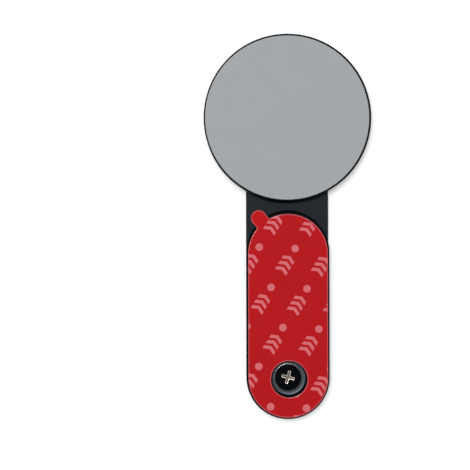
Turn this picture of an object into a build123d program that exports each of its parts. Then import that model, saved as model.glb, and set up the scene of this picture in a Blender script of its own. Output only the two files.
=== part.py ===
from build123d import *
import math
import os

# Magnetic phone holder for a laptop lid's side, in millimetres, lying on its back with its arm folded in.
# X runs across the arm, Y from the pivot towards the magnet cup, and Z up from the arm's back.
# The origin is on the pivot's axis, at the arm's back.

# Arm: a flat bar that ends in a round cup, machined from one plate
ARM_WIDTH = 27.7
BAR_THICKNESS = 2.5
CUP_DISTANCE = 86.8
CUP_DIAMETER = 56.0
CUP_FLOOR = 2.2
CUP_WALL = 0.7
LIP_WALL = 0.35
ARM_EDGE_BREAK = 0.3
CUP_BACK_CHAMFER = 0.6
LIP_BREAK = 0.15
CUP_FOOT_BEVEL = 0.4

# What lies in the cup, from its floor up
MAGNET_COUNT = 16
MAGNET_WIDTH = 3.7
MAGNET_THICKNESS = 2.0
MAGNET_DIVIDER = 0.5
MAGNET_CLEARANCE = 0.05
SHIELD_THICKNESS = 0.6
CARRIER_SKIN = 0.5
CARRIER_CLEARANCE = 0.1
CARRIER_OUTER_WALL = 0.45
PAD_FILM_THICKNESS = 0.1
PAD_FILM_INSET = 0.25
PAD_THICKNESS = 0.9
PAD_PROUD = 0.1
PAD_CLEARANCE = 0.1
PAD_EDGE_BREAK = 0.15

# Base plate: a stadium whose pivot end is concentric with the pivot
PLATE_WIDTH = 27.8
PLATE_THICKNESS = 3.5
PLATE_CUP_GAP = 3.0
PLATE_EDGE_BREAK = 0.35
RUNNING_GAP = 0.3

# Pivot: a boss on the arm runs in the plate's bore, and the screw clamps the dished washer to the boss
BOSS_WALL = 0.95
BORE_CLEARANCE = 0.05
BOSS_CHAMFER = 0.25
WEB_THICKNESS = 0.8
SLIP_WASHER_DIAMETER = 20.0
SLIP_WASHER_THICKNESS = 0.6
SLIP_WASHER_CLEARANCE = 0.1
SPRING_HEIGHT = 0.35
SPRING_STRIP = 0.2
SPRING_BORE_CLEARANCE = 0.1
SPRING_INSET = 0.1
WASHER_MARGIN = 0.95
WASHER_THICKNESS = 0.4
WASHER_FLAT_MARGIN = 0.35
WASHER_DISH = 0.13
WASHER_BORE_CLEARANCE = 0.4
WASHER_SHIFT = (0.2, -0.25)
RECESS_CLEARANCE = 0.4

# Pivot screw: low flat head with a cross recess
SCREW_DIAMETER = 5.0
SCREW_HOLE_CLEARANCE = 0.05
SCREW_HOLE_FLOOR = 0.8
SCREW_TIP_GAP = 0.3
SCREW_HEAD_DIAMETER = 9.5
SCREW_HEAD_HEIGHT = 0.95
SCREW_HEAD_BREAK = 0.25
CROSS_DIAMETER = 4.9
CROSS_WING_WIDTH = 1.05
CROSS_DEPTH = 1.7
CROSS_FOOT_DIAMETER = 2.2
CROSS_FOOT_WIDTH = 0.8
CROSS_CORE_WIDTH = 1.9
CROSS_CORE_FOOT_WIDTH = 1.1
CROSS_TURN = -15.0

# Adhesive pad and its release liner, die cut together, the liner with a pull tab.
# Their hole is cut a little off the pivot's axis
TAPE_THICKNESS = 1.1
TAPE_MARGIN = 0.65
TAPE_END_MARGIN = 1.0
TAPE_HOLE_SHIFT = (0.3, -0.4)
LINER_THICKNESS = 0.13
TAB_WIDTH = 5.15
TAB_REACH = 4.35
TAB_DIRECTION = 130.5
TAB_CURL_RADIUS = 12.0

# Heights that follow from the stacks above
PLATE_BOTTOM = BAR_THICKNESS + RUNNING_GAP
PLATE_TOP = PLATE_BOTTOM + PLATE_THICKNESS
SLIP_WASHER_TOP = BAR_THICKNESS + SLIP_WASHER_THICKNESS
WEB_TOP = SLIP_WASHER_TOP + WEB_THICKNESS
BOSS_TOP = WEB_TOP + SPRING_HEIGHT
WASHER_TOP = BOSS_TOP + WASHER_THICKNESS
TAPE_TOP = PLATE_TOP + TAPE_THICKNESS
SHIELD_TOP = CUP_FLOOR + SHIELD_THICKNESS
MAGNET_TOP = SHIELD_TOP + MAGNET_THICKNESS
CARRIER_TOP = MAGNET_TOP + CARRIER_SKIN
PAD_BOTTOM = CARRIER_TOP + PAD_FILM_THICKNESS
PAD_TOP = PAD_BOTTOM + PAD_THICKNESS
LIP_TOP = PAD_TOP - PAD_PROUD

# Radii and centres in the cup that follow from its diameter
CUP_CENTRE = Pos(0, CUP_DISTANCE, 0)
CUP_POCKET_RADIUS = CUP_DIAMETER / 2 - CUP_WALL
LIP_INNER_RADIUS = CUP_DIAMETER / 2 - LIP_WALL
PAD_RADIUS = LIP_INNER_RADIUS - PAD_CLEARANCE
CARRIER_RADIUS = CUP_POCKET_RADIUS - CARRIER_CLEARANCE
MAGNET_OUTER_RADIUS = CARRIER_RADIUS - CARRIER_OUTER_WALL - MAGNET_CLEARANCE
MAGNET_INNER_RADIUS = MAGNET_OUTER_RADIUS - MAGNET_WIDTH

# Radii at the pivot, from the screw outwards
SCREW_HOLE_RADIUS = SCREW_DIAMETER / 2 + SCREW_HOLE_CLEARANCE
BOSS_RADIUS = SCREW_HOLE_RADIUS + BOSS_WALL
WASHER_RADIUS = SCREW_HEAD_DIAMETER / 2 + WASHER_MARGIN
RECESS_RADIUS = WASHER_RADIUS + RECESS_CLEARANCE
TAPE_HOLE_RADIUS = RECESS_RADIUS

# The plate stops short of the cup, and the tape stops short of the plate's edge
PLATE_FAR_CENTRE = CUP_DISTANCE - CUP_DIAMETER / 2 - PLATE_CUP_GAP - PLATE_WIDTH / 2
TAPE_WIDTH = PLATE_WIDTH - 2 * TAPE_MARGIN
TAPE_FAR_CENTRE = PLATE_FAR_CENTRE - (TAPE_END_MARGIN - TAPE_MARGIN)


def stadium(width, far_centre):
    """Outline with one round end about the pivot and the other about (0, far_centre)."""
    return Pos(0, far_centre / 2) * Rot(0, 0, 90) * SlotCenterToCenter(far_centre, width)


def disc(radius, bottom, top):
    return Pos(0, 0, bottom) * extrude(Circle(radius), top - bottom)


def ring(inner_radius, outer_radius, bottom, top):
    return Pos(0, 0, bottom) * extrude(Circle(outer_radius) - Circle(inner_radius), top - bottom)


def turned(points):
    """Solid of revolution about Z from a closed outline of (radius, height) points."""
    outline = make_face(Polyline([(radius, 0, height) for radius, height in points], close=True))
    return revolve(outline, Axis.Z)


def tapered(foot_size, foot, top_size, top):
    """Four-sided plug that widens upwards."""
    return loft([Pos(0, 0, foot) * Rectangle(*foot_size), Pos(0, 0, top) * Rectangle(*top_size)])


def arc_block(inner_radius, outer_radius, bottom, top, angle, middle_angle):
    """Part of a ring that spans the given angle, centred on middle_angle."""
    width = outer_radius - inner_radius
    section = Pos(inner_radius, 0, bottom) * Rot(90, 0, 0) * Rectangle(width, top - bottom, align=Align.MIN)
    return Rot(0, 0, middle_angle - angle / 2) * revolve(section, Axis.Z, angle)


def broken_plate(outline, bottom, top, edge_break):
    """Flat plate with every outer edge broken by a small chamfer."""
    plate = Pos(0, 0, bottom) * extrude(outline, top - bottom)
    flat_edges = plate.faces().filter_by(Axis.Z).edges()
    return chamfer(flat_edges, edge_break)


def make_cup():
    """The cup's walls, floor and thin lip, turned about its own axis."""
    outer = CUP_DIAMETER / 2
    return turned(
        [
            (0, 0),
            (outer - CUP_BACK_CHAMFER, 0),
            (outer, CUP_BACK_CHAMFER),
            (outer, LIP_TOP - LIP_BREAK),
            (outer - LIP_BREAK, LIP_TOP),
            (LIP_INNER_RADIUS, LIP_TOP),
            (LIP_INNER_RADIUS, CARRIER_TOP),
            (CUP_POCKET_RADIUS, CARRIER_TOP),
            (CUP_POCKET_RADIUS, CUP_FLOOR),
            (0, CUP_FLOOR),
        ]
    )


def make_boss():
    """Round boss that the base plate turns on."""
    return turned(
        [
            (0, SCREW_HOLE_FLOOR),
            (BOSS_RADIUS, SCREW_HOLE_FLOOR),
            (BOSS_RADIUS, BOSS_TOP - BOSS_CHAMFER),
            (BOSS_RADIUS - BOSS_CHAMFER, BOSS_TOP),
            (0, BOSS_TOP),
        ]
    )


def cup_foot_edges(arm):
    """Where the cup's outer wall stands on the bar."""
    rounds = arm.edges().filter_by(GeomType.CIRCLE)
    rounds = [edge for edge in rounds if math.isclose(edge.radius, CUP_DIAMETER / 2)]
    return [edge for edge in rounds if math.isclose(edge.position_at(0).Z, BAR_THICKNESS)]


def make_arm():
    bar = broken_plate(stadium(ARM_WIDTH, CUP_DISTANCE), 0, BAR_THICKNESS, ARM_EDGE_BREAK)
    pocket = disc(CUP_POCKET_RADIUS, CUP_FLOOR, LIP_TOP)
    screw_hole = disc(SCREW_HOLE_RADIUS, SCREW_HOLE_FLOOR, BOSS_TOP)
    arm = bar - CUP_CENTRE * pocket + CUP_CENTRE * make_cup()
    arm = chamfer(cup_foot_edges(arm), CUP_FOOT_BEVEL)
    return arm + make_boss() - screw_hole


def make_shield_ring():
    """Steel ring behind the magnets, as wide as the ring of magnets."""
    return CUP_CENTRE * ring(MAGNET_INNER_RADIUS, MAGNET_OUTER_RADIUS, CUP_FLOOR, SHIELD_TOP)


def magnet_block(clearance):
    """One arc magnet at the cup's axis, grown by a clearance on every side but its ends in height."""
    inner = MAGNET_INNER_RADIUS - clearance
    outer = MAGNET_OUTER_RADIUS + clearance
    share = 360 / MAGNET_COUNT
    middle_radius = (inner + outer) / 2
    divider_angle = math.degrees((MAGNET_DIVIDER + 2 * (MAGNET_CLEARANCE - clearance)) / middle_radius)
    return arc_block(inner, outer, SHIELD_TOP, MAGNET_TOP, share - divider_angle, share / 2)


def make_magnet(index):
    return CUP_CENTRE * Rot(0, 0, index * 360 / MAGNET_COUNT) * magnet_block(0)


def make_magnet_carrier():
    """Moulded disc with a pocket for each magnet and a groove for the shield ring."""
    groove_inner = MAGNET_INNER_RADIUS - MAGNET_CLEARANCE
    groove_outer = MAGNET_OUTER_RADIUS + MAGNET_CLEARANCE
    groove = ring(groove_inner, groove_outer, CUP_FLOOR, SHIELD_TOP)
    body = disc(CARRIER_RADIUS, CUP_FLOOR, CARRIER_TOP) - groove
    pocket = magnet_block(MAGNET_CLEARANCE)
    body -= [Rot(0, 0, index * 360 / MAGNET_COUNT) * pocket for index in range(MAGNET_COUNT)]
    return CUP_CENTRE * body


def make_pad_film():
    return CUP_CENTRE * disc(PAD_RADIUS - PAD_FILM_INSET, CARRIER_TOP, PAD_BOTTOM)


def make_grip_pad():
    """Round silicone pad whose upper edge is eased."""
    pad = disc(PAD_RADIUS, PAD_BOTTOM, PAD_TOP)
    upper_edge = pad.edges().group_by(Axis.Z)[-1]
    return CUP_CENTRE * chamfer(upper_edge, PAD_EDGE_BREAK)


def make_base_plate():
    plate = broken_plate(stadium(PLATE_WIDTH, PLATE_FAR_CENTRE), PLATE_BOTTOM, PLATE_TOP, PLATE_EDGE_BREAK)
    recess = disc(RECESS_RADIUS, WEB_TOP, PLATE_TOP)
    pocket = disc(SLIP_WASHER_DIAMETER / 2 + SLIP_WASHER_CLEARANCE, PLATE_BOTTOM, SLIP_WASHER_TOP)
    bore = disc(BOSS_RADIUS + BORE_CLEARANCE, PLATE_BOTTOM, PLATE_TOP)
    return plate - recess - pocket - bore


def make_slip_washer():
    inner = BOSS_RADIUS + SLIP_WASHER_CLEARANCE
    return ring(inner, SLIP_WASHER_DIAMETER / 2, BAR_THICKNESS, SLIP_WASHER_TOP)


def make_disc_spring():
    """Conical spring washer: its rim stands on the plate's web and its bore meets the dished washer."""
    inner = BOSS_RADIUS + SPRING_BORE_CLEARANCE
    outer = WASHER_RADIUS - SPRING_INSET
    return turned(
        [
            (outer, WEB_TOP),
            (outer, WEB_TOP + SPRING_STRIP),
            (inner, BOSS_TOP),
            (inner, BOSS_TOP - SPRING_STRIP),
        ]
    )


def make_dished_washer():
    """Flat under the screw's head, with a raised rim, and off centre by part of its bore's clearance."""
    bore_radius = SCREW_DIAMETER / 2 + WASHER_BORE_CLEARANCE
    return Pos(*WASHER_SHIFT, 0) * turned(
        [
            (bore_radius, BOSS_TOP),
            (WASHER_RADIUS, BOSS_TOP),
            (WASHER_RADIUS, WASHER_TOP + WASHER_DISH),
            (SCREW_HEAD_DIAMETER / 2 + WASHER_FLAT_MARGIN, WASHER_TOP),
            (bore_radius, WASHER_TOP),
        ]
    )


def make_screw_head():
    """Low flat head with a broken rim."""
    rim_radius = SCREW_HEAD_DIAMETER / 2
    head_top = WASHER_TOP + SCREW_HEAD_HEIGHT
    return turned(
        [
            (0, WASHER_TOP),
            (rim_radius, WASHER_TOP),
            (rim_radius, head_top - SCREW_HEAD_BREAK),
            (rim_radius - SCREW_HEAD_BREAK, head_top),
            (0, head_top),
        ]
    )


def make_cross_recess():
    """Two tapered wings across each other and a tapered core, sunk from the top of the head."""
    head_top = WASHER_TOP + SCREW_HEAD_HEIGHT
    foot = head_top - CROSS_DEPTH
    wing_foot = (CROSS_FOOT_DIAMETER, CROSS_FOOT_WIDTH)
    wing = tapered(wing_foot, foot, (CROSS_DIAMETER, CROSS_WING_WIDTH), head_top)
    core_foot = (CROSS_CORE_FOOT_WIDTH, CROSS_CORE_FOOT_WIDTH)
    core = tapered(core_foot, foot, (CROSS_CORE_WIDTH, CROSS_CORE_WIDTH), head_top)
    return Rot(0, 0, CROSS_TURN) * (wing + Rot(0, 0, 90) * wing + Rot(0, 0, 45) * core)


def make_pivot_screw():
    tip = SCREW_HOLE_FLOOR + SCREW_TIP_GAP
    shank = disc(SCREW_DIAMETER / 2, tip, WASHER_TOP + SCREW_HEAD_HEIGHT / 2)
    return shank + make_screw_head() - make_cross_recess()


def make_foam_tape():
    outline = stadium(TAPE_WIDTH, TAPE_FAR_CENTRE) - Pos(*TAPE_HOLE_SHIFT) * Circle(TAPE_HOLE_RADIUS)
    return Pos(0, 0, PLATE_TOP) * extrude(outline, TAPE_THICKNESS)


def make_pull_tab():
    """Round-ended tab that leaves the liner's far end and curls up where no tape backs it."""
    root = TAPE_WIDTH / 2
    tip_centre = root + TAB_REACH - TAB_WIDTH / 2
    outline = Pos((root + tip_centre) / 2, 0) * Rectangle(tip_centre - root, TAB_WIDTH)
    outline += Pos(tip_centre, 0) * Circle(TAB_WIDTH / 2)
    beyond_root = Pos(root, 0) * Rectangle(2 * TAB_REACH, 2 * TAB_WIDTH, align=(Align.MIN, Align.CENTER))
    prism = Pos(0, 0, TAPE_TOP) * extrude(outline & beyond_root, TAB_CURL_RADIUS)
    roll = ring(TAB_CURL_RADIUS - LINER_THICKNESS, TAB_CURL_RADIUS, -TAB_WIDTH, TAB_WIDTH)
    curl = (Pos(root, 0, TAPE_TOP + TAB_CURL_RADIUS) * Rot(90, 0, 0) * roll) & prism
    flat_root = Pos(root / 2, 0, TAPE_TOP) * extrude(Rectangle(root, TAB_WIDTH), LINER_THICKNESS)
    return Pos(0, TAPE_FAR_CENTRE, 0) * Rot(0, 0, TAB_DIRECTION) * (curl + flat_root)


def make_release_liner():
    """Film on the tape, with the tape's outline and hole and one pull tab."""
    film = Pos(0, 0, TAPE_TOP) * extrude(stadium(TAPE_WIDTH, TAPE_FAR_CENTRE), LINER_THICKNESS)
    hole = disc(TAPE_HOLE_RADIUS, TAPE_TOP, TAPE_TOP + LINER_THICKNESS)
    return film + make_pull_tab() - Pos(*TAPE_HOLE_SHIFT, 0) * hole


parts = {
    "arm": make_arm(),
    "shield_ring": make_shield_ring(),
    "magnet_carrier": make_magnet_carrier(),
    "pad_film": make_pad_film(),
    "grip_pad": make_grip_pad(),
    "base_plate": make_base_plate(),
    "slip_washer": make_slip_washer(),
    "disc_spring": make_disc_spring(),
    "dished_washer": make_dished_washer(),
    "pivot_screw": make_pivot_screw(),
    "foam_tape": make_foam_tape(),
    "release_liner": make_release_liner(),
}
for index in range(MAGNET_COUNT):
    parts[f"magnet_{index + 1:02d}"] = make_magnet(index)

os.makedirs("parts", exist_ok=True)
for name, shape in parts.items():
    export_step(shape, f"parts/{name}.step")
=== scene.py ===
import math

import bpy
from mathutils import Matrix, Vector


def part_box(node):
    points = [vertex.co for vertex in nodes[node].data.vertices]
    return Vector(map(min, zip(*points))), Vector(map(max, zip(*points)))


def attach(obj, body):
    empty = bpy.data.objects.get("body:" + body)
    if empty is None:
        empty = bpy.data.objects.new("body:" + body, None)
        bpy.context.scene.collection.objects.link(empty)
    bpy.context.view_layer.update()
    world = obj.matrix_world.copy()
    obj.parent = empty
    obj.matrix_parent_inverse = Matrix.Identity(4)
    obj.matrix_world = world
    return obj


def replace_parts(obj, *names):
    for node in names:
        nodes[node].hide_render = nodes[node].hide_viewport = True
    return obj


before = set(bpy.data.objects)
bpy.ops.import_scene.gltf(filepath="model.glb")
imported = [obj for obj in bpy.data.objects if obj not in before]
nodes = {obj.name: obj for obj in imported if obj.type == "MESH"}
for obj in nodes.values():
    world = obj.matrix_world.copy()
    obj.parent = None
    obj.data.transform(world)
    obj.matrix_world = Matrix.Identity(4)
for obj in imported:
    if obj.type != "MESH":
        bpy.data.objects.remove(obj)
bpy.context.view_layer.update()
print("frame loaded")

mm = 0.001
tolerance = 0.001  # in millimetres, to tell places apart while modelling
level = 0.99  # a face is level where its normal's Z is above this
smoothAngle = math.radians(30)

# Sizes that the looks share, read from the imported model
armLow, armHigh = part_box("arm")
padLow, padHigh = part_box("grip_pad")
_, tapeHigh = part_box("foam_tape")
_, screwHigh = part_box("pivot_screw")
cupCentre = (padLow + padHigh) / 2


def linearColour(hexText):
    channels = [int(hexText[i:i + 2], 16) / 255 for i in (1, 3, 5)]
    linear = [c / 12.92 if c <= 0.04045 else ((c + 0.055) / 1.055) ** 2.4 for c in channels]
    return (*linear, 1)


def addNode(tree, kind, settings=None, inputs=None):
    # inputs holds plain values or the output sockets that feed them
    node = tree.nodes.new(kind)
    for name, value in (settings or {}).items():
        setattr(node, name, value)
    for name, value in (inputs or {}).items():
        if isinstance(value, bpy.types.NodeSocket):
            tree.links.new(value, node.inputs[name])
        else:
            node.inputs[name].default_value = value
    return node


def newMaterial(name):
    material = bpy.data.materials.new(name)
    material.use_nodes = True
    tree = material.node_tree
    place = addNode(tree, "ShaderNodeTexCoord").outputs["Object"]
    return material, tree, tree.nodes["Principled BSDF"], place


def grainAndEdge(tree, shader, place, grain, depth, edge):
    # A fine grain over the surface, and edges that round off over the width given
    speck = addNode(tree, "ShaderNodeTexNoise", inputs={"Vector": place, "Scale": 1 / grain, "Detail": 2.0})
    soft = addNode(tree, "ShaderNodeBevel", {"samples": 6}, {"Radius": edge})
    relief = addNode(
        tree,
        "ShaderNodeBump",
        inputs={"Height": speck.outputs["Fac"], "Distance": depth, "Normal": soft.outputs["Normal"]},
    )
    tree.links.new(relief.outputs["Normal"], shader.inputs["Normal"])


def dress(material, *names):
    for name in names:
        slots = nodes[name].data.materials
        slots.clear()
        slots.append(material)


# Modelling helpers. Pieces are modelled with one unit as a millimetre and brought to size at the end


def inEdit(action):
    bpy.ops.object.mode_set(mode="EDIT")
    action()
    bpy.ops.object.mode_set(mode="OBJECT")


def chooseOnly(piece):
    bpy.ops.object.select_all(action="DESELECT")
    piece.select_set(True)
    bpy.context.view_layer.objects.active = piece


def applyPlace():
    bpy.ops.object.transform_apply(location=True, rotation=True, scale=True)


def addDisc(radius, depth, middle, sides):
    bpy.ops.object.select_all(action="DESELECT")
    bpy.ops.mesh.primitive_cylinder_add(vertices=sides, radius=radius, depth=depth, location=middle)
    return bpy.context.object


def roundPicked(width, segments):
    inEdit(lambda: bpy.ops.mesh.bevel(offset=width, segments=segments, affect="EDGES"))


def pick(piece, kind, test):
    # Selects the vertices, edges or faces whose middle and normal pass the test
    mesh = piece.data
    bpy.ops.object.mode_set(mode="EDIT")
    bpy.ops.mesh.select_mode(type={"vertices": "VERT", "edges": "EDGE", "polygons": "FACE"}[kind])
    bpy.ops.mesh.select_all(action="DESELECT")
    bpy.ops.object.mode_set(mode="OBJECT")
    for part in getattr(mesh, kind):
        normal = None
        if kind == "vertices":
            middle = part.co
        elif kind == "edges":
            start, end = [mesh.vertices[index].co for index in part.vertices]
            middle = (start + end) / 2
        else:
            middle, normal = part.center, part.normal
        part.select = bool(test(middle, normal))


def roundedPlate(radius, farCentre, bottom, top, sides):
    # A disc at the pivot whose far half is pulled out, so both ends are round
    plate = addDisc(radius, top - bottom, (0, 0, (top + bottom) / 2), sides)
    applyPlace()
    pick(plate, "vertices", lambda at, normal: at.y > tolerance)
    inEdit(lambda: bpy.ops.transform.translate(value=(0, farCentre, 0)))
    return plate


def combine(piece, tool, operation):
    chooseOnly(piece)
    step = piece.modifiers.new("combine", "BOOLEAN")
    step.operation = operation
    step.solver = "EXACT"
    step.object = tool
    bpy.ops.object.modifier_apply(modifier=step.name)
    bpy.data.objects.remove(tool)


def finishPiece(piece, name, body):
    chooseOnly(piece)
    piece.name = name
    piece.data.name = name
    piece.scale = (mm, mm, mm)
    applyPlace()
    bpy.ops.object.shade_smooth_by_angle(angle=smoothAngle)
    # Large flat faces keep their own direction, and the narrow ones at their edges take up the turn
    even = piece.modifiers.new("evenShading", "WEIGHTED_NORMAL")
    even.keep_sharp = True
    bpy.ops.object.modifier_apply(modifier=even.name)
    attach(piece, body)
    return piece


anodised = {
    "colour": "#23262a",
    "rimShadeColour": "#0b0c0d",  # painted shade: the lip and the plate's top edge are darkened to stand in for the shade and dark reflection along them
    "rimShadeFrom": (5.88 * mm, 5.92 * mm),  # above this height are the cup's lip and the plate's top edge
    "grain": 0.12 * mm,  # glass beads of 0.1 mm leave pits about as wide
    "pitDepth": 0.003 * mm,
    "roughness": (0.52, 0.60),
    "cloud": 9 * mm,  # how wide the duller and the brighter patches are
    "edge": 0.05 * mm,
}


def beadBlastedAnodising():
    # Machined aluminium, bead blasted and then dyed black in the anodising bath: an even dark satin, with
    # painted shade on the lip and the plate's top edge
    material, tree, shader, place = newMaterial("beadBlastedAnodising")
    cloud = addNode(
        tree,
        "ShaderNodeTexNoise",
        inputs={"Vector": place, "Scale": 1 / anodised["cloud"], "Detail": 3.0},
    )
    rough = addNode(
        tree,
        "ShaderNodeMapRange",
        inputs={
            "Value": cloud.outputs["Fac"],
            "To Min": anodised["roughness"][0],
            "To Max": anodised["roughness"][1],
        },
    )
    height = addNode(tree, "ShaderNodeSeparateXYZ", inputs={0: place}).outputs["Z"]
    # painted shade: above this height the colour turns darker, for the shade and dark reflection along the
    # lip and the plate's top edge
    paintedRimShade = addNode(
        tree,
        "ShaderNodeMapRange",
        inputs={"Value": height, "From Min": anodised["rimShadeFrom"][0], "From Max": anodised["rimShadeFrom"][1]},
    )
    colour = addNode(
        tree,
        "ShaderNodeMix",
        {"data_type": "RGBA"},
        {
            "Factor": paintedRimShade.outputs["Result"],
            6: linearColour(anodised["colour"]),
            7: linearColour(anodised["rimShadeColour"]),
        },
    )
    tree.links.new(colour.outputs[2], shader.inputs["Base Color"])
    shader.inputs["Metallic"].default_value = 1.0
    tree.links.new(rough.outputs["Result"], shader.inputs["Roughness"])
    grainAndEdge(tree, shader, place, anodised["grain"], anodised["pitDepth"], anodised["edge"])
    return material


silicone = {
    "colours": ("#9fa3a6", "#a4a8ab"),
    "mottle": 6 * mm,
    "grain": 0.25 * mm,
    "grainDepth": 0.004 * mm,
    "edge": 0.15 * mm,
    "roughness": 0.7,
    "ior": 1.43,
    "specular": 0.3,
}


def siliconeRubber():
    # Sheet silicone pressed in a blasted mould: flat grey, dull, with the faintest mottling
    material, tree, shader, place = newMaterial("mouldedSilicone")
    mottle = addNode(
        tree,
        "ShaderNodeTexNoise",
        inputs={"Vector": place, "Scale": 1 / silicone["mottle"], "Detail": 3.0},
    )
    colour = addNode(
        tree,
        "ShaderNodeMix",
        {"data_type": "RGBA"},
        {
            "Factor": mottle.outputs["Fac"],
            6: linearColour(silicone["colours"][0]),
            7: linearColour(silicone["colours"][1]),
        },
    )
    tree.links.new(colour.outputs[2], shader.inputs["Base Color"])
    shader.inputs["Roughness"].default_value = silicone["roughness"]
    shader.inputs["IOR"].default_value = silicone["ior"]
    shader.inputs["Specular IOR Level"].default_value = silicone["specular"]
    grainAndEdge(tree, shader, place, silicone["grain"], silicone["grainDepth"], silicone["edge"])
    return material


foam = {
    "colour": "#2b2b2c",
    "cell": 0.12 * mm,
    "cellDepth": 0.03 * mm,
    "roughness": 0.9,
    "specular": 0.2,
}


def acrylicFoam():
    # Dark grey acrylic foam: dead matt, with closed cells that show on its cut edge
    material, tree, shader, place = newMaterial("acrylicFoam")
    cells = addNode(tree, "ShaderNodeTexVoronoi", inputs={"Vector": place, "Scale": 1 / foam["cell"]})
    relief = addNode(
        tree,
        "ShaderNodeBump",
        inputs={"Height": cells.outputs["Distance"], "Distance": foam["cellDepth"]},
    )
    tree.links.new(relief.outputs["Normal"], shader.inputs["Normal"])
    shader.inputs["Base Color"].default_value = linearColour(foam["colour"])
    shader.inputs["Roughness"].default_value = foam["roughness"]
    shader.inputs["Specular IOR Level"].default_value = foam["specular"]
    return material


# Finishes with one colour, slight wear and a grain: colour, metallic, roughness, grain size and depth
plainFinishes = {
    "bluedSpringSteel": ("#4f575f", 1.0, 0.48, 0.3 * mm, 0.003 * mm),  # blue-grey temper colour, oiled
    "oiledSpringSteel": ("#6d6f73", 1.0, 0.35, 0.3 * mm, 0.003 * mm),  # plain dark steel, oiled
    "zincPlatedSteel": ("#c3c4c6", 1.0, 0.4, 0.5 * mm, 0.004 * mm),  # bright grey, slightly cloudy
    "nickelPlate": ("#d8d4ca", 1.0, 0.22, 0.6 * mm, 0.002 * mm),  # warm and bright
    "blackOxideSteel": ("#0e0f13", 1.0, 0.34, 0.3 * mm, 0.004 * mm),  # black skin with an oily sheen
    "rubbedOxideSteel": ("#b4b2af", 1.0, 0.36, 0.2 * mm, 0.006 * mm),  # the skin worn thin on the rim
    "scrapedSteel": ("#f3ebdd", 1.0, 0.45, 0.4 * mm, 0.05 * mm),  # bare, and dented by the driver
    "recessSteel": ("#857c70", 1.0, 0.42, 0.4 * mm, 0.08 * mm),  # half bare, deeper in the cross
    "mouldedBlackPlastic": ("#131314", 0.0, 0.5, 0.3 * mm, 0.008 * mm),  # fine spark-eroded mould skin
    "darkNylon": ("#1f1f1f", 0.0, 0.45, 0.4 * mm, 0.004 * mm),  # waxy and smooth
    "adhesiveFilm": ("#232325", 0.0, 0.35, 1.5 * mm, 0.01 * mm),  # clear, so the black behind it shows
}
plainWear = {"size": 2 * mm, "spread": 0.06, "edge": 0.08 * mm}


def plainFinish(name):
    colour, metallic, roughness, grain, depth = plainFinishes[name]
    material, tree, shader, place = newMaterial(name)
    shader.inputs["Base Color"].default_value = linearColour(colour)
    shader.inputs["Metallic"].default_value = metallic
    wear = addNode(
        tree,
        "ShaderNodeTexNoise",
        inputs={"Vector": place, "Scale": 1 / plainWear["size"], "Detail": 4.0},
    )
    rough = addNode(
        tree,
        "ShaderNodeMapRange",
        inputs={
            "Value": wear.outputs["Fac"],
            "To Min": roughness - plainWear["spread"],
            "To Max": roughness + plainWear["spread"],
        },
    )
    tree.links.new(rough.outputs["Result"], shader.inputs["Roughness"])
    grainAndEdge(tree, shader, place, grain, depth, plainWear["edge"])
    return material


dress(beadBlastedAnodising(), "arm", "base_plate")
dress(acrylicFoam(), "foam_tape")
dress(plainFinish("oiledSpringSteel"), "disc_spring")
dress(plainFinish("zincPlatedSteel"), "shield_ring")
dress(plainFinish("nickelPlate"), *[f"magnet_{number:02d}" for number in range(1, 17)])
dress(plainFinish("mouldedBlackPlastic"), "magnet_carrier")
dress(plainFinish("darkNylon"), "slip_washer")
dress(plainFinish("adhesiveFilm"), "pad_film")
print("every plain node has its finish")

# Lengths in millimetres
pad = {
    "slack": 0.14,  # the sheet is cut this much smaller all round than the cup's inside
    "offCentre": (-0.1, 0.0),  # laid by hand, so the slack isn't even
    "edgeRound": 0.14,
    "edgeSegments": 5,
    "footRound": 0.05,
    "footSegments": 2,
    "sides": 192,
}


def buildPad():
    low, high = padLow / mm, padHigh / mm
    radius = (high.x - low.x) / 2 - pad["slack"]
    aside, along = pad["offCentre"]
    middle = (aside, (low.y + high.y) / 2 + along, (low.z + high.z) / 2)
    piece = addDisc(radius, high.z - low.z, middle, pad["sides"])
    applyPlace()
    pick(piece, "edges", lambda at, normal: at.z > high.z - tolerance)
    roundPicked(pad["edgeRound"], pad["edgeSegments"])
    pick(piece, "edges", lambda at, normal: at.z < low.z + tolerance)
    roundPicked(pad["footRound"], pad["footSegments"])
    piece.data.materials.append(siliconeRubber())
    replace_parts(finishPiece(piece, "gripSheet", "arm"), "grip_pad")
    print("grip sheet:", len(piece.data.polygons), "faces")


buildPad()

# Lengths in millimetres
film = {
    "red": "#b61b20",
    "tabRed": "#c01c20",  # the tab has no dark tape behind it, so more light comes back through the film
    "paleEdgeAndHighlight": "#c8565b",  # paler on the rolled edge: partly the die's pressed edge, partly a painted highlight
    "toneSize": 12,
    "toneSpread": 0.06,
    "roughness": 0.08,
    "ior": 1.51,
    "specular": 0.12,
    "waveSize": 5,  # the film isn't quite flat
    "waveHeight": 0.004,
    "thickness": 0.13,
    "endTrims": (0.1, 0.27),  # how far it stops short of the tape, at the pivot and at the far end
    "sides": 128,
    "holeRadius": 6.1,
    "holeCentre": (0.3, -0.4),
    "holeSides": 96,
    "cutDepth": 4,
    "tabAngle": 129.7,
    "tabWidth": 5.15,
    "tabReach": 4.5,
    "tabRoot": 2,  # how far it laps over the film that it is joined to
    "tabSides": 64,
    "tabBlend": 0.2,  # how far inside the tape's edge its lighter red may start
    "tabCurlRadius": 12,
    "tabCuts": 9,
    "firstCut": 0.05,  # past the tape's edge
    "rollWidths": (0.14, 0.14),  # from the edge inwards
    "rollDrops": (0.05, 0.015),  # how far the edge and the next line lie below the flat
    "edgeNormals": (0.3, 0.998),  # a face whose normal's Z is between these belongs to the rolled edge
}
tapeTop = tapeHigh.z / mm
filmTop = tapeTop + film["thickness"]
filmRadius = tapeHigh.x / mm
filmFarCentre = tapeHigh.y / mm - filmRadius

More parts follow.
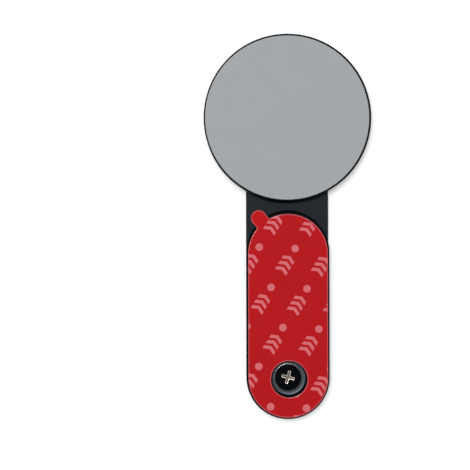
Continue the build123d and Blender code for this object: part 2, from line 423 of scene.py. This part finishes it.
# Printed on the film in slanting rows: arrowheads in threes, and a dot after each three.
# Lengths in millimetres
ink = {
    "colour": "#d66d74",
    "slant": -58,
    "rowPitch": 10.4,
    "pitch": 15.2,
    "stagger": 5.9,
    "arrows": 3,
    "arrowPitch": 2.1,
    "arrowWidth": 1.15,
    "arrowHeight": 4.3,
    "arrowLean": 0.45,
    "arrowMiddle": -2.2,
    "dotMiddle": 4.0,
    "dotRadius": 1.25,
    "softness": 0.06,
}


def inkMask(tree, place):
    turned = addNode(
        tree,
        "ShaderNodeMapping",
        inputs={"Vector": place, "Rotation": (0, 0, math.radians(ink["slant"])), "Scale": (1 / mm,) * 3},
    )
    along, across = addNode(tree, "ShaderNodeSeparateXYZ", inputs={0: turned.outputs[0]}).outputs[0:2]
    half = ink["rowPitch"] / 2
    rise = addNode(tree, "ShaderNodeMath", {"operation": "WRAP"}, {0: across, 1: half, 2: -half}).outputs[0]
    height = addNode(tree, "ShaderNodeMath", {"operation": "ABSOLUTE"}, {0: rise}).outputs[0]
    row = addNode(tree, "ShaderNodeMath", {"operation": "SUBTRACT"}, {0: across, 1: rise}).outputs[0]
    step = ink["stagger"] / ink["rowPitch"]
    moved = addNode(
        tree,
        "ShaderNodeMath",
        {"operation": "MULTIPLY_ADD"},
        {0: row, 1: step, 2: along},
    ).outputs[0]
    half = ink["pitch"] / 2
    run = addNode(tree, "ShaderNodeMath", {"operation": "WRAP"}, {0: moved, 1: half, 2: -half}).outputs[0]

    lean = addNode(
        tree,
        "ShaderNodeMath",
        {"operation": "MULTIPLY_ADD"},
        {0: height, 1: ink["arrowLean"], 2: run},
    ).outputs[0]
    fromMiddle = addNode(
        tree,
        "ShaderNodeMath",
        {"operation": "SUBTRACT"},
        {0: lean, 1: ink["arrowMiddle"] + ink["arrowLean"] * ink["arrowHeight"] / 4},
    ).outputs[0]
    half = ink["arrowPitch"] / 2
    stroke = addNode(
        tree,
        "ShaderNodeMath",
        {"operation": "WRAP"},
        {0: fromMiddle, 1: half, 2: -half},
    ).outputs[0]
    beyond = []
    for value, limit in (
        (stroke, ink["arrowWidth"] / 2),
        (height, ink["arrowHeight"] / 2),
        (fromMiddle, ink["arrows"] * ink["arrowPitch"] / 2),
    ):
        size = addNode(tree, "ShaderNodeMath", {"operation": "ABSOLUTE"}, {0: value}).outputs[0]
        past = addNode(tree, "ShaderNodeMath", {"operation": "SUBTRACT"}, {0: size, 1: limit}).outputs[0]
        beyond.append(past)
    arrow = beyond[0]
    for past in beyond[1:]:
        arrow = addNode(tree, "ShaderNodeMath", {"operation": "MAXIMUM"}, {0: arrow, 1: past}).outputs[0]

    side = addNode(
        tree,
        "ShaderNodeMath",
        {"operation": "SUBTRACT"},
        {0: run, 1: ink["dotMiddle"]},
    ).outputs[0]
    offset = addNode(tree, "ShaderNodeCombineXYZ", inputs={0: side, 1: rise}).outputs[0]
    reach = addNode(tree, "ShaderNodeVectorMath", {"operation": "LENGTH"}, {0: offset}).outputs["Value"]
    dot = addNode(
        tree,
        "ShaderNodeMath",
        {"operation": "SUBTRACT"},
        {0: reach, 1: ink["dotRadius"]},
    ).outputs[0]
    nearest = addNode(tree, "ShaderNodeMath", {"operation": "MINIMUM"}, {0: arrow, 1: dot}).outputs[0]
    return addNode(
        tree,
        "ShaderNodeMapRange",
        inputs={"Value": nearest, "From Min": ink["softness"], "From Max": -ink["softness"]},
    ).outputs["Result"]


def redFilm(name, red):
    # Polythene film dyed red: smooth, the tone uneven by a few percent, with pale ink pressed on it
    material, tree, shader, place = newMaterial(name)
    tone = addNode(
        tree,
        "ShaderNodeTexNoise",
        inputs={"Vector": place, "Scale": 1 / (film["toneSize"] * mm), "Detail": 2.0},
    )
    base = linearColour(red)
    dyed = addNode(
        tree,
        "ShaderNodeMix",
        {"data_type": "RGBA"},
        {
            "Factor": tone.outputs["Fac"],
            6: (*[channel * (1 - film["toneSpread"]) for channel in base[:3]], 1),
            7: (*[channel * (1 + film["toneSpread"]) for channel in base[:3]], 1),
        },
    )
    printed = addNode(
        tree,
        "ShaderNodeMix",
        {"data_type": "RGBA"},
        {"Factor": inkMask(tree, place), 6: dyed.outputs[2], 7: linearColour(ink["colour"])},
    )
    tree.links.new(printed.outputs[2], shader.inputs["Base Color"])
    shader.inputs["Roughness"].default_value = film["roughness"]
    shader.inputs["IOR"].default_value = film["ior"]
    shader.inputs["Specular IOR Level"].default_value = film["specular"]
    waves = addNode(
        tree,
        "ShaderNodeTexNoise",
        inputs={"Vector": place, "Scale": 1 / (film["waveSize"] * mm), "Detail": 1.0},
    )
    relief = addNode(
        tree,
        "ShaderNodeBump",
        inputs={"Height": waves.outputs["Fac"], "Distance": film["waveHeight"] * mm},
    )
    tree.links.new(relief.outputs["Normal"], shader.inputs["Normal"])
    return material


def addTab(piece, out, centre):
    # The tab starts as a short round-ended strip, flat, and is joined to the film before it curls
    halfWidth = film["tabWidth"] / 2
    end = filmRadius + film["tabReach"] - halfWidth
    stretch = halfWidth + film["tabRoot"]
    tab = addDisc(halfWidth, film["thickness"], (0, 0, (tapeTop + filmTop) / 2), film["tabSides"])
    applyPlace()
    pick(tab, "vertices", lambda at, normal: at.x > tolerance)
    inEdit(lambda: bpy.ops.transform.translate(value=(stretch, 0, 0)))
    tab.location = centre + out * (end - stretch)
    tab.rotation_euler = (0, 0, math.radians(film["tabAngle"]))
    chooseOnly(tab)
    applyPlace()
    combine(piece, tab, "UNION")


def curlTab(piece, out, centre):
    # Cuts across the tab let it curl up where no tape backs it
    bpy.ops.object.mode_set(mode="EDIT")
    for cut in range(film["tabCuts"]):
        bpy.ops.mesh.select_all(action="SELECT")
        along = filmRadius + film["firstCut"] + cut * film["tabReach"] / film["tabCuts"]
        bpy.ops.mesh.bisect(plane_co=centre + out * along, plane_no=out, threshold=tolerance / 10)
    bpy.ops.object.mode_set(mode="OBJECT")
    curl = film["tabCurlRadius"]
    for vertex in piece.data.vertices:
        beyond = (vertex.co - centre).dot(out) - filmRadius
        if beyond > 0:
            vertex.co.z += curl - math.sqrt(curl**2 - beyond**2)


def buildFilm():
    angle = math.radians(film["tabAngle"])
    out = Vector((math.cos(angle), math.sin(angle), 0))
    centre = Vector((0, filmFarCentre, 0))
    nearTrim, farTrim = film["endTrims"]
    piece = roundedPlate(
        filmRadius,
        filmFarCentre - nearTrim - farTrim,
        tapeTop,
        filmTop,
        film["sides"],
    )
    piece.location.y = nearTrim
    applyPlace()
    addTab(piece, out, centre)
    hole = addDisc(film["holeRadius"], film["cutDepth"], (*film["holeCentre"], filmTop), film["holeSides"])
    combine(piece, hole, "DIFFERENCE")

    # The upper edge rolls down to every cut side
    chooseOnly(piece)
    pick(piece, "polygons", lambda at, normal: abs(normal.z) > level)
    inEdit(lambda: bpy.ops.mesh.dissolve_limited(angle_limit=math.radians(1)))
    pick(piece, "polygons", lambda at, normal: normal.z > level)
    for width, drop in zip(film["rollWidths"], film["rollDrops"]):
        inEdit(lambda: bpy.ops.mesh.inset(thickness=width, use_even_offset=True))
        inner = {vertex for face in piece.data.polygons if face.select for vertex in face.vertices}
        for vertex in piece.data.vertices:
            if vertex.co.z > filmTop - tolerance and vertex.index not in inner:
                vertex.co.z = filmTop - drop
    for name, red in (
        ("redPolytheneFilm", film["red"]),
        ("redPolytheneFilmUnbacked", film["tabRed"]),
        ("redPolytheneFilmPaleEdgeAndHighlight", film["paleEdgeAndHighlight"]),
    ):
        piece.data.materials.append(redFilm(name, red))
    backed, unbacked, edge = range(3)
    steep, flat = film["edgeNormals"]
    # the rolled edge's faces take the paler red, partly the die's pressed edge and partly a painted
    # highlight
    for face in piece.data.polygons:
        face.material_index = edge if steep < face.normal.z < flat else backed
    curlTab(piece, out, centre)
    for face in piece.data.polygons:
        fromCentre = face.center - centre
        reach, aside = fromCentre.dot(out), abs(fromCentre.cross(out).z)
        onTab = reach > filmRadius - film["tabBlend"] and aside < film["tabWidth"] / 2
        if onTab and face.material_index == backed:
            face.material_index = unbacked
    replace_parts(finishPiece(piece, "releaseFilm", "base"), "release_liner")
    print("release film:", len(piece.data.polygons), "faces")


buildFilm()

# Lengths in millimetres
washer = {
    "boreRadius": 2.9,
    "flatRadius": 5.1,  # flat under the screw's head
    "dish": 0.13,  # how far the rim stands above the flat
    "rings": 6,
    "curve": 1.6,  # 1 would be a plain cone
    "rimRound": 0.05,
    "rimSegments": 3,
    "sides": 160,
    "boreSides": 96,
    "cutDepth": 2,
}


def buildWasher():
    low, high = [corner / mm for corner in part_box("dished_washer")]
    radius = (high.x - low.x) / 2
    centre = Vector(((low.x + high.x) / 2, (low.y + high.y) / 2, (low.z + high.z) / 2))
    piece = addDisc(radius, high.z - low.z, centre, washer["sides"])
    applyPlace()
    pick(piece, "edges", lambda at, normal: at.z > high.z - tolerance)
    roundPicked(washer["rimRound"], washer["rimSegments"])

    # Rings that sink in a curve from the rim to the flat
    slope = radius - washer["rimRound"] - washer["flatRadius"]
    pick(piece, "polygons", lambda at, normal: normal.z > level)
    for ring in range(washer["rings"]):
        inEdit(lambda: bpy.ops.mesh.inset(thickness=slope / washer["rings"]))
        inner = {vertex for face in piece.data.polygons if face.select for vertex in face.vertices}
        left = 1 - (ring + 1) / washer["rings"]
        for index in inner:
            piece.data.vertices[index].co.z = high.z - washer["dish"] * (1 - left ** washer["curve"])
    bore = addDisc(washer["boreRadius"], washer["cutDepth"], centre, washer["boreSides"])
    combine(piece, bore, "DIFFERENCE")
    piece.data.materials.clear()
    piece.data.materials.append(plainFinish("bluedSpringSteel"))
    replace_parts(finishPiece(piece, "dishedWasher", "arm"), "dished_washer")
    print("dished washer:", len(piece.data.polygons), "faces")


buildWasher()

# Lengths in millimetres
screw = {
    "headHeight": 0.95,
    "sides": 96,
    "rimRound": 0.24,
    "rimSegments": 6,
    "rimNormals": (0.3, 0.995),  # a face whose normal's Z is between these belongs to the rubbed rim
    "shankWidth": 5.0,
    "shankFoot": 1.1,
    "crossTurn": -15,
    # The cross's length, its arms' width and its core's width
    "mouth": (4.34, 0.88, 1.75),  # at the head's top
    "throat": (3.98, 0.52, 1.45),  # where the worn lip ends
    "foot": (2.1, 0.38, 0.95),
    "lipDepth": 0.06,
    "crossDepth": 1.7,
    "cutterProud": 0.3,
}


def cutBlock(piece, topSize, footSize, top, depth, turn):
    # Cuts with a tapered block that stands a little proud of where it starts
    bpy.ops.object.select_all(action="DESELECT")
    bpy.ops.mesh.primitive_cube_add(size=1, location=(0, 0, top - depth / 2))
    block = bpy.context.object
    block.scale = (*topSize, depth)
    applyPlace()
    pick(block, "vertices", lambda at, normal: at.z < top - depth / 2)
    shrink = (footSize[0] / topSize[0], footSize[1] / topSize[1], 1)
    inEdit(lambda: bpy.ops.transform.resize(value=shrink))
    pick(block, "polygons", lambda at, normal: normal.z > level)
    rise = (0, 0, screw["cutterProud"])
    inEdit(lambda: bpy.ops.mesh.extrude_region_move(TRANSFORM_OT_translate={"value": rise}))
    block.rotation_euler = (0, 0, math.radians(turn))
    chooseOnly(block)
    applyPlace()
    combine(piece, block, "DIFFERENCE")


def buildScrew():
    headTop = screwHigh.z / mm
    headFoot = headTop - screw["headHeight"]
    headRadius = screwHigh.x / mm
    piece = addDisc(headRadius, screw["headHeight"], (0, 0, (headFoot + headTop) / 2), screw["sides"])
    applyPlace()
    pick(piece, "edges", lambda at, normal: abs(at.z - headTop) < tolerance)
    roundPicked(screw["rimRound"], screw["rimSegments"])
    pick(piece, "polygons", lambda at, normal: normal.z < -level)
    inEdit(lambda: bpy.ops.mesh.inset(thickness=headRadius - screw["shankWidth"] / 2))
    drop = screw["shankFoot"] - headFoot
    inEdit(lambda: bpy.ops.mesh.extrude_region_move(TRANSFORM_OT_translate={"value": (0, 0, drop)}))

    # The cross: a lip that slopes in, and a deeper well that narrows to its foot
    lip, turn = screw["lipDepth"], screw["crossTurn"]
    stages = (
        (screw["mouth"], screw["throat"], headTop, lip),
        (screw["throat"], screw["foot"], headTop - lip, screw["crossDepth"] - lip),
    )
    for wide, narrow, top, depth in stages:
        cutBlock(piece, wide[0:2], narrow[0:2], top, depth, turn)
        cutBlock(piece, wide[0:2], narrow[0:2], top, depth, turn + 90)
        cutBlock(piece, (wide[2], wide[2]), (narrow[2], narrow[2]), top, depth, turn + 45)

    for name in ("blackOxideSteel", "scrapedSteel", "recessSteel", "rubbedOxideSteel"):
        piece.data.materials.append(plainFinish(name))
    oxide, scraped, recess, rubbed = range(4)
    steep, flat = screw["rimNormals"]
    crossReach = screw["mouth"][0] / 2
    for face in piece.data.polygons:
        reach, depth = face.center.to_2d().length, headTop - face.center.z
        face.material_index = oxide
        if reach < crossReach and tolerance < depth < screw["crossDepth"] + tolerance:
            face.material_index = scraped if depth < lip else recess
        elif reach > crossReach and steep < face.normal.z < flat:
            face.material_index = rubbed
    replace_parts(finishPiece(piece, "pivotScrew", "arm"), "pivot_screw")
    print("pivot screw:", len(piece.data.polygons), "faces")


buildScrew()

floorLook = {
    "colour": "#f4f4f4",
    "roughness": 0.9,
    "lift": 0.28,  # what the camera sees on top of the lit floor, to reach white
    "farLift": 1.0,  # and away from the object, where the lamp's light thins out
    "fade": (0.25, 1.1),  # where the lift starts to grow and where it is full, in metres
    "size": 3.0,
}


def studioFloor():
    bpy.ops.object.select_all(action="DESELECT")
    bpy.ops.mesh.primitive_plane_add(size=floorLook["size"], location=(0, cupCentre.y / 2, 0))
    floor = bpy.context.object
    floor.name = "studioFloor"
    material, tree, shader, place = newMaterial("paperSweep")
    shader.inputs["Base Color"].default_value = linearColour(floorLook["colour"])
    shader.inputs["Roughness"].default_value = floorLook["roughness"]
    shader.inputs["Specular IOR Level"].default_value = 0.0
    path = addNode(tree, "ShaderNodeLightPath").outputs
    seen = addNode(
        tree,
        "ShaderNodeMath",
        {"operation": "ADD"},
        {0: path["Is Camera Ray"], 1: path["Is Glossy Ray"]},
    )
    lift = addNode(
        tree,
        "ShaderNodeMath",
        {"operation": "ADD"},
        {0: seen.outputs[0], 1: path["Is Transmission Ray"]},
    )
    distance = addNode(tree, "ShaderNodeVectorMath", {"operation": "LENGTH"}, {0: place}).outputs["Value"]
    amount = addNode(
        tree,
        "ShaderNodeMapRange",
        inputs={
            "Value": distance,
            "From Min": floorLook["fade"][0],
            "From Max": floorLook["fade"][1],
            "To Min": floorLook["lift"],
            "To Max": floorLook["farLift"],
        },
    )
    strength = addNode(
        tree,
        "ShaderNodeMath",
        {"operation": "MULTIPLY"},
        {0: lift.outputs[0], 1: amount.outputs["Result"]},
    )
    shader.inputs["Emission Color"].default_value = (1, 1, 1, 1)
    tree.links.new(strength.outputs[0], shader.inputs["Emission Strength"])
    floor.data.materials.append(material)


studioFloor()

studio = {
    "horizon": 0.95,  # pale walls all round
    "zenith": 0.15,  # and a dim ceiling behind the camera
    "wallTop": 0.2,  # the height, of 1 overhead, where the walls start to darken
    "keyShare": 0.53,  # the key light's part of a level face's brightness
    "keyTilt": (-7.7, 10.4),  # degrees from overhead, to the left and away
    "keyHeight": 0.62,
    "keyHalfAngle": 8.0,  # degrees, as seen from the object
}


def studioLight():
    world = bpy.data.worlds.new("studioWorld")
    bpy.context.scene.world = world
    world.use_nodes = True
    tree = world.node_tree
    direction = addNode(tree, "ShaderNodeTexCoord").outputs["Generated"]
    height = addNode(tree, "ShaderNodeSeparateXYZ", inputs={0: direction}).outputs["Z"]
    strength = addNode(
        tree,
        "ShaderNodeMapRange",
        {"interpolation_type": "SMOOTHSTEP"},
        {
            "Value": height,
            "From Min": studio["wallTop"],
            "To Min": studio["horizon"],
            "To Max": studio["zenith"],
        },
    )
    background = tree.nodes["Background"]
    background.inputs["Color"].default_value = (1, 1, 1, 1)
    tree.links.new(strength.outputs["Result"], background.inputs["Strength"])

    target = Vector((0, cupCentre.y / 2, 0))
    tilt = [math.tan(math.radians(angle)) for angle in studio["keyTilt"]]
    place = target + Vector((tilt[0], tilt[1], 1)) * studio["keyHeight"]
    away = place - target
    facing = away.normalized().z
    light = bpy.data.lights.new("keyLight", "AREA")
    light.shape = "SQUARE"
    light.size = 2 * away.length * math.tan(math.radians(studio["keyHalfAngle"]))
    light.energy = studio["keyShare"] * math.pi ** 2 * away.length_squared / facing
    lamp = bpy.data.objects.new("keyLight", light)
    bpy.context.scene.collection.objects.link(lamp)
    lamp.location = place
    lamp.rotation_euler = away.to_track_quat("Z", "Y").to_euler()


studioLight()

# Places in the photograph, in its own pixels, and the lens's height above the floor
photo = {
    "width": 470,
    "cupRadius": 83.9,
    "pivotX": 287.75,
    "pivotY": 377.72,
    "height": 345 * mm,
    "roll": 0.15,
    "sensor": 36,
}


def studioCamera():
    cupRadius = (armHigh.x - armLow.x) / 2
    perPixel = cupRadius / photo["cupRadius"]
    middle = photo["width"] / 2
    distance = photo["height"] - armHigh.z
    data = bpy.data.cameras.new("camera")
    data.sensor_width = photo["sensor"]
    data.lens = distance * photo["sensor"] / (photo["width"] * perPixel)
    data.clip_start = 0.01
    data.clip_end = 10
    camera = bpy.data.objects.new("camera", data)
    bpy.context.scene.collection.objects.link(camera)
    x = (middle - photo["pivotX"]) * perPixel
    y = (photo["pivotY"] - middle) * perPixel
    camera.location = (x, y, photo["height"])
    camera.rotation_euler = (0, 0, math.radians(-photo["roll"]))
    bpy.context.scene.camera = camera


studioCamera()
bpy.context.scene.view_settings.view_transform = "Standard"
print("studio ready")
